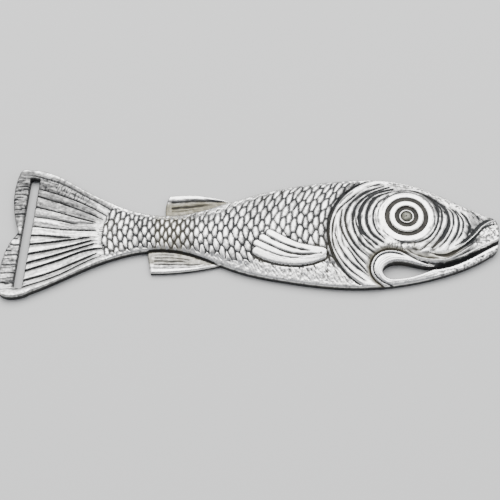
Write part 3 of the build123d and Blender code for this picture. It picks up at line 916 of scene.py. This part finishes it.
def carve_pectoral(face):
    """Four flat-topped rays that lie on the trunk like fingers and share one root, with a cut round them that is
    deepest below them; its dark patina is made wider and darker below them and a little at the tips as painted shadow.
    """
    points, x, y = face.points, face.x, face.y
    ground = crown(points)
    raised = np.full(len(x), -1.0)
    closest = np.full(len(x), 1e3)
    for number, middle in enumerate(PECTORAL_RAYS):
        distance, along = near_line(points, middle)
        half = (1.12 if number < 3 else 1.34) + (0.30 if number == 0 else 0.15) * along
        across = np.clip(distance / half, 0, 1)
        top = (PECTORAL_TOP - 0.04 * number) * (1 - across ** 7) ** 0.5
        raised = np.maximum(raised, np.where(distance < half, top, -1))
        closest = np.minimum(closest, distance - half)
    # painted shadow: the dark cut round the fin is made wider and darker along its lower side, and a little at the
    # tips
    below = smooth(0.6, -0.8, y + 7.6 + 0.32 * (x - 2) * (x < 10) - 0.03 * (x > 10))
    tips = smooth(7.0, 3.0, x)
    moat_and_shadow = 0.24 + 0.40 * below + 0.10 * tips
    outside = closest > 0
    gap = np.maximum(closest, 0)
    face.z = np.where(outside, face.z - 0.55 * moat_and_shadow * groove(gap, 0.55), face.z)
    face.stain(ink=outside * smooth(moat_and_shadow + 0.12, moat_and_shadow - 0.08, gap) * (0.75 + 0.25 * below))
    on = (~outside) * 1.0
    face.clean(on)
    face.z = np.where(outside, face.z, ground - 0.10 + np.maximum(raised, 0))
    cuts = (
        (0.42, 0.30, 1.0, [(4.9, -2.2), (6.9, -3.6), (9.4, -4.8), (12.2, -6.0), (15.6, -7.0), (18.5, -7.4)]),
        (0.42, 0.28, 1.0, [(2.8, -3.9), (5.9, -5.4), (8.6, -6.8), (11.6, -7.9), (15.4, -8.5), (21.0, -8.2)]),
        (0.28, 0.18, 0.6, [(2.0, -6.0), (5.0, -7.3), (8.6, -8.7), (12.4, -9.5), (16.5, -9.3)]),
        (0.16, 0.05, 0.3, [(4.6, -8.0), (8.4, -9.3), (12.6, -10.0), (16.8, -9.7)]),
        (0.50, 0.20, 0.9, [(20.9, -7.9), (21.5, -8.3)]),
    )
    for number, (width, depth, ink, line) in enumerate(cuts):
        face.line(line, width, depth, ink, on, 0.35, 60 + number)


def cast_relief(points, distance):
    """The carved face of the casting."""
    x, y = points.T
    eye_r = radius(points, EYE)
    face = Face(points, crown(points))
    carve_trunk(face)
    carve_tail(face)
    blade(face, DORSAL_ROOT, DORSAL_EDGE, 1, DORSAL_CUTS, 1.0)
    blade(face, ANAL_ROOT, ANAL_EDGE, -1, ANAL_CUTS, 0.55)
    # a dark cut where the anal fin goes under the trunk's lower edge: patina in a real step, widened and darkened as
    # painted shadow from that edge
    under = np.abs(y - line_y(x, ANAL_ROOT) + 0.15)
    face.cut(under, 0.62, 0.12, 1.0, window(x, -32.0, -30.0, -12.5, -8.5))
    face.cut(np.abs(y - line_y(x, DORSAL_ROOT) - 0.15), 0.26, 0.06, 0.5, window(x, -26.0, -25.0, -9, -5))
    carve_head(face, eye_r)
    carve_mouth(face)
    carve_pectoral(face)
    seat = eye_r < EYE_SEAT
    face.z = np.where(seat, SEAT_FLOOR, face.z)
    face.ink = np.where(seat, 0.7, face.ink)
    return face


def hook_relief(points, distance):
    """The hook's face: a thin outer rim and groove, then a smooth band with drawn lines, and a granular jaw."""
    x, y = points.T
    seam, _ = near_line(points, SEAM)
    height = crown(points) - 0.25
    face = Face(points, height * smooth(62, 50, x) + (SHEET + 0.15) * smooth(50, 62, x))
    loop = smooth(47.0, 43.5, x)
    face.ridge(seam - 0.42, 0.30, 0.10, loop)
    face.cut(np.abs(seam - 0.92), 0.40, 0.34, 1.0, loop)
    drawn = 0.5 + 0.5 * np.cos(2 * math.pi * (distance + 0.12 * lumps(x, y, 3.0, 61)) / 0.62)
    bend = smooth(0.5, 1.0, distance) * smooth(60, 52, x)
    face.z += 0.05 * drawn * bend
    face.stain(tarnish=0.45 * smooth(0.5, 0.0, drawn) * bend * np.clip(0.4 + lumps(x, y, 2.4, 64), 0, 1))
    lower = smooth(0.35, -0.45, y - line_y(x, JAW_LINE) + 1.15) * smooth(52, 60, x)
    grain = lumps(x, y, 0.42, 62) + 0.6 * lumps(x, y, 0.8, 63)
    face.z += lower * (0.10 * grain - 0.10)
    face.stain(ink=lower * smooth(-0.7, -1.4, grain) * 0.6)
    face.stain(tarnish=lower * (0.15 + 0.6 * smooth(0.1, -0.7, grain)))
    return face


def step_lines():
    """Lines where the casting's face has a step, a hair to each side of it."""
    lines = []
    circle = np.linspace(0, 2 * math.pi, 230, endpoint=False)
    ring = np.stack([np.cos(circle), np.sin(circle)], 1)
    for r in (EYE_SEAT - 0.02, EYE_SEAT + 0.02, EYE_SEAT + 0.2):
        lines.append(EYE + r * ring)
    for points, side in ((DORSAL_ROOT, 1), (ANAL_ROOT, -1), (LIP_LINE, -1)):
        for offset in (-0.35, -0.16, -0.02, 0.02, 0.2):
            line = curve(points, 0.17)
            lines.append(line + (0, side * offset))
    return lines


# ---- turned pieces of the eye

def turned(name, profile, sides, wobble, seed):
    """A piece turned round the eye's axis, slightly uneven like worked metal. Its profile is a closed ring.

    The profile's points are (radius, height) or (radius, height, painted light), with painted light from -1, painted
    shade, to 1, a painted highlight.
    """
    profile = [(*point, 0)[:3] for point in profile]
    shifts = np.random.default_rng(seed).uniform(-1, 1, 4)
    vertices = []
    faces = []
    for row, (r, z, _) in enumerate(profile):
        here = row * sides
        after = (row + 1) % len(profile) * sides
        for i in range(sides):
            a = 2 * math.pi * i / sides
            uneven = sum(shift * math.cos((k + 2) * a + k) for k, shift in enumerate(shifts)) / 8
            lift = wobble * uneven if z > 0.1 else 0
            vertices.append((EYE[0] + r * math.cos(a), EYE[1] + r * math.sin(a), z + lift))
            j = (i + 1) % sides
            faces.append((here + i, here + j, after + j, after + i))
    piece = mesh_object(name, vertices, faces)
    store(piece.data, "painted_light", np.repeat([painted_light for _, _, painted_light in profile], sides))
    return piece


def arc(centre_r, centre_z, radius, start, end, steps):
    """(radius, height) points on an arc, from one angle to another in degrees."""
    angles = np.radians(np.linspace(start, end, steps))
    return [(centre_r + radius * math.cos(a), centre_z + radius * math.sin(a)) for a in angles]


# ---- materials

class Nodes:
    """A node material that is being put together. Values are sockets or plain numbers."""

    def __init__(self, name):
        self.material = bpy.data.materials.new(name)
        self.material.use_nodes = True
        self.tree = self.material.node_tree
        self.shader = self.tree.nodes["Principled BSDF"]

    def link(self, value, socket):
        if isinstance(value, bpy.types.NodeSocket):
            self.tree.links.new(value, socket)
        else:
            socket.default_value = value

    def shade(self, **inputs):
        """Sets inputs of the shader, with _ for the spaces in their names."""
        for name, value in inputs.items():
            self.link(value, self.shader.inputs[name.replace("_", " ")])

    def add(self, kind, **values):
        """A new node; its keyword values are its own properties or, where it has none of that name, its inputs."""
        node = self.tree.nodes.new(kind)
        for key, value in values.items():
            if hasattr(node, key):
                setattr(node, key, value)
            else:
                self.link(value, node.inputs[key])
        return node

    def attribute(self, name):
        return self.add("ShaderNodeAttribute", attribute_name=name).outputs["Fac"]

    def place(self):
        """Coordinates of the row frame, so that a texture has the same size on every piece."""
        return self.add("ShaderNodeTexCoord").outputs["Object"]

    def noise(self, scale, detail):
        return self.add("ShaderNodeTexNoise", Vector=self.place(), Scale=scale, Detail=detail,
                        Roughness=0.55).outputs["Fac"]

    def ranged(self, value, low, high, to_low=0.0, to_high=1.0):
        node = self.add("ShaderNodeMapRange", interpolation_type="SMOOTHSTEP", Value=value)
        for name, number in (("From Min", low), ("From Max", high), ("To Min", to_low), ("To Max", to_high)):
            node.inputs[name].default_value = number
        return node.outputs["Result"]

    def maths(self, operation, a, b):
        node = self.add("ShaderNodeMath", operation=operation)
        self.link(a, node.inputs[0])
        self.link(b, node.inputs[1])
        return node.outputs[0]

    def plus(self, a, b):
        return self.maths("ADD", a, b)

    def times(self, a, b):
        return self.maths("MULTIPLY", a, b)

    def most(self, a, b):
        return self.maths("MAXIMUM", a, b)

    def mixed(self, factor, low, high):
        """A colour between two, each a tuple or a socket."""
        node = self.add("ShaderNodeMix", data_type="RGBA")
        self.link(factor, node.inputs["Factor"])
        for name, value in (("A", low), ("B", high)):
            socket = next(s for s in node.inputs if s.name == name and s.type == "RGBA")
            self.link((*value, 1) if isinstance(value, tuple) else value, socket)
        return next(s for s in node.outputs if s.type == "RGBA")

    def bumps(self, *layers):
        """Fine unevenness that is too small for the mesh. Each layer is (value, strength, distance in m)."""
        normal = {}
        for value, strength, depth in layers:
            bump = self.add("ShaderNodeBump", Strength=strength, Distance=depth, Height=value, **normal)
            normal = {"Normal": bump.outputs["Normal"]}
        self.shade(**normal)


BLACK = (0.0, 0.0, 0.002)
SPECK_GREY = (0.38, 0.38, 0.37)
OLIVE = (0.200, 0.182, 0.125)
PATINA_AND_SHADE_BLACK = (0.012, 0.013, 0.014)
BROWN_PATINA_AND_SHADE = (0.036, 0.032, 0.022)


def pewter(name, bright, worn, rough):
    """Polished cast pewter: bright high spots, black patina in its cuts, thin films of grey tarnish and olive, and
    painted shade that the carving lays into the patina and tarnish films.
    """
    n = Nodes(name)
    olive = n.attribute("olive")
    uneven = n.noise(900, 4)
    patchy = n.noise(110, 3)

    # patina and painted shade where the carving says so, and patina in whatever lies below its surroundings
    cut = n.ranged(n.plus(n.attribute("fine_hollow"), n.times(uneven, 0.04)), 0.06, 0.20, 0, 0.35)
    hollow = n.ranged(n.plus(n.attribute("broad_hollow"), n.times(patchy, 0.06)), 0.16, 0.55, 0, 0.25)
    speckled = n.plus(n.attribute("ink"), n.times(n.maths("SUBTRACT", uneven, 0.5), 0.5))
    dark = n.times(n.most(n.most(cut, hollow), n.ranged(speckled, 0.10, 0.80)), 0.97)

    tone = n.mixed(n.ranged(patchy, 0.35, 0.65), bright, worn)
    tone = n.mixed(n.ranged(n.noise(2600, 2), 0.52, 0.80, 0, 0.5), tone, SPECK_GREY)
    # grey from the tarnish film, which in places is painted shade
    greying = n.times(n.attribute("tarnish"), n.ranged(uneven, 0.25, 0.70, 0.65, 1.0))
    # the films darken by powers, so that equal steps of film look like equal steps of tone
    tone = n.mixed(n.maths("POWER", 0.055, greying), BLACK, tone)
    tone = n.mixed(n.times(olive, 0.85), tone, OLIVE)
    brown = n.most(n.ranged(n.noise(60, 2), 0.56, 0.70, 0, 0.6), olive)
    colour = n.mixed(n.maths("POWER", 0.02, dark), n.mixed(brown, PATINA_AND_SHADE_BLACK, BROWN_PATINA_AND_SHADE), tone)

    film = n.most(dark, n.times(olive, 0.5))
    base_rough = n.ranged(uneven, 0.3, 0.7, rough - 0.05, rough + 0.10)
    n.shade(
        Base_Color=colour,
        Metallic=n.ranged(film, 0, 1, 1.0, 0.15),
        Specular_IOR_Level=n.ranged(dark, 0, 1, 0.5, 0.2),
        Roughness=n.plus(base_rough, n.times(n.most(dark, greying), 0.25)),
    )
    n.bumps((uneven, 0.30, 0.00006), (n.noise(3200, 2), 0.22, 0.00003))
    return n.material


PAINTED_HIGHLIGHT = (0.95, 0.94, 0.91)
PAINTED_SHADE = (0.02, 0.02, 0.018)


def turned_metal(name, bright, dark, rough, specks, metallic=1.0):
    """Metal of a small turned piece: fine rings from its tool, with tarnish in patches."""
    n = Nodes(name)
    centre = n.add("ShaderNodeMapping", Location=(-EYE[0] * MM, -EYE[1] * MM, 0), Vector=n.place())
    rings = n.add("ShaderNodeTexWave", wave_type="RINGS", rings_direction="Z", Scale=900, Distortion=1.5,
                  Vector=centre.outputs["Vector"])
    patchy = n.noise(500, 4)
    painted_light = n.attribute("painted_light")
    tone = n.mixed(n.ranged(patchy, 0.5 - specks, 0.5 + specks), dark, bright)
    # painted highlight where the profile gives 1, and painted shade where it gives -1
    tone = n.mixed(n.ranged(painted_light, 0.2, 0.9), tone, PAINTED_HIGHLIGHT)
    tone = n.mixed(n.ranged(painted_light, -0.2, -0.9), tone, PAINTED_SHADE)
    n.shade(Base_Color=tone, Metallic=metallic, Roughness=n.ranged(patchy, 0.3, 0.7, rough + 0.12, rough))
    n.bumps((rings.outputs["Fac"], 0.15, 0.00004), (patchy, 0.4, 0.00008))
    return n.material


def assign(piece, material, node):
    piece.data.materials.clear()
    piece.data.materials.append(material)
    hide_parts(node)
    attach(piece, "root")


# ---- the pieces

cast_loops = [refine(loop) for loop in back_loops("fish_casting")]
hook_loops = [refine(loop) for loop in back_loops("opener_hook")]

fish = plate("carved_fish", cast_loops, cast_relief, step_lines())
hook = plate("mouth_hook", hook_loops, hook_relief)

disc_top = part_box("eye_disc")[1].z / MM
disc = turned("sunk_disc", [
    (0.9, disc_top - 0.02), (2.2, disc_top), (3.4, disc_top + 0.02), (5.0, disc_top - 0.02), (6.2, disc_top),
    (6.55, disc_top - 0.05), (DISC_RADIUS, disc_top - 0.15), (DISC_RADIUS, SEAT_FLOOR), (0.9, SEAT_FLOOR),
], EYE_SIDES, 0.06, 71)
ring = turned("bright_ring", [
    *arc(RING_OUTER - 0.42, disc_top + 0.27, 0.42, 0, 90, 8),
    *arc(RING_INNER + 0.38, disc_top + 0.31, 0.38, 90, 180, 8),
    (RING_INNER, disc_top), (RING_OUTER, disc_top),
], EYE_SIDES, 0.10, 72)
# the collar is painted as a bright highlight all round, and the narrow gap between it and the dome as painted shade
collar = [(*point, 1) for point in arc(2.00, disc_top + 0.34, 0.20, 0, 180, 7)]
dome = [(1.60 * math.cos(a), disc_top + 0.24 + 0.50 * math.sin(a)) for a in np.radians(np.linspace(4, 89, 9))]
rivet = turned("eye_stud", [
    (0.02, 0.0), (2.0, 0.0), (2.08, 0.06), (1.26, 0.84), (1.25, disc_top),
    (STUD_RADIUS, disc_top), (STUD_RADIUS, disc_top + 0.32),
    *collar, (1.79, disc_top + 0.15, -1), (1.66, disc_top + 0.14, -1), (1.61, disc_top + 0.16, -1), *dome,
], STUD_SIDES, 0.10, 73)

assign(fish, pewter("cast_pewter", (0.96, 0.95, 0.925), (0.88, 0.87, 0.84), 0.30), "fish_casting")
assign(hook, pewter("hook_steel", (0.96, 0.955, 0.935), (0.90, 0.89, 0.87), 0.26), "opener_hook")
assign(disc, turned_metal("darkened_brass", (0.024, 0.021, 0.015), (0.012, 0.011, 0.009), 0.55, 0.18, 0.35),
       "eye_disc")
assign(ring, turned_metal("bright_pewter", (0.92, 0.91, 0.88), (0.80, 0.79, 0.75), 0.26, 0.25),
       "eye_ring")
assign(rivet, turned_metal("rivet_steel", (0.17, 0.17, 0.145), (0.075, 0.075, 0.062), 0.36, 0.22),
       "eye_rivet")

# ---- floor, light and camera

FLOOR_HALF = 2  # metres
FLOOR_DROP = 0.00002  # keeps the floor just clear of the flat back
floor = linked("floor", bpy.data.meshes.new("floor"))
corners = [(-FLOOR_HALF, -FLOOR_HALF, 0), (FLOOR_HALF, -FLOOR_HALF, 0), (FLOOR_HALF, FLOOR_HALF, 0),
           (-FLOOR_HALF, FLOOR_HALF, 0)]
floor.data.from_pydata(corners, [], [(0, 1, 2, 3)])
floor.location.z = -FLOOR_DROP
floor_nodes = Nodes("pale_floor")
floor_nodes.shade(Base_Color=(0.62, 0.62, 0.61, 1), Roughness=0.85)
floor.data.materials.append(floor_nodes.material)


def facing(name, data, place, aim):
    """A lamp or camera at a place, turned to its aim."""
    made = linked(name, data)
    made.location = place
    made.rotation_euler = (aim - place).to_track_quat("-Z", "Y").to_euler()
    return made


# soft boxes aimed at the origin: name, place and size in metres, power in watts
for name, place, size, power in (
    ("sky", (0.0, 0.55, 0.95), (1.3, 0.9), 25),
    ("left", (-0.8, 0.1, 0.55), (0.5, 0.5), 3),
    ("right", (0.8, -0.1, 0.6), (0.5, 0.5), 2),
):
    light = bpy.data.lights.new(name, "AREA")
    light.shape = "RECTANGLE"
    light.size, light.size_y = size
    light.energy = power
    facing(name, light, Vector(place), Vector((0, 0, 0)))

world = bpy.data.worlds.new("studio")
world.use_nodes = True
background = world.node_tree.nodes["Background"]
background.inputs["Color"].default_value = (0.9, 0.93, 1.0, 1)
background.inputs["Strength"].default_value = 0.42
bpy.context.scene.world = world

ELEVATION = math.radians(64)
CAMERA_DISTANCE = 0.452
LENS = 108  # mm, as is the sensor's width
SENSOR = 36
AIM = Vector((0, -0.00485, 0))
camera_data = bpy.data.cameras.new("camera")
camera_data.lens = LENS
camera_data.sensor_width = SENSOR
eye_point = AIM + CAMERA_DISTANCE * Vector((0, -math.cos(ELEVATION), math.sin(ELEVATION)))
bpy.context.scene.camera = facing("camera", camera_data, eye_point, AIM)
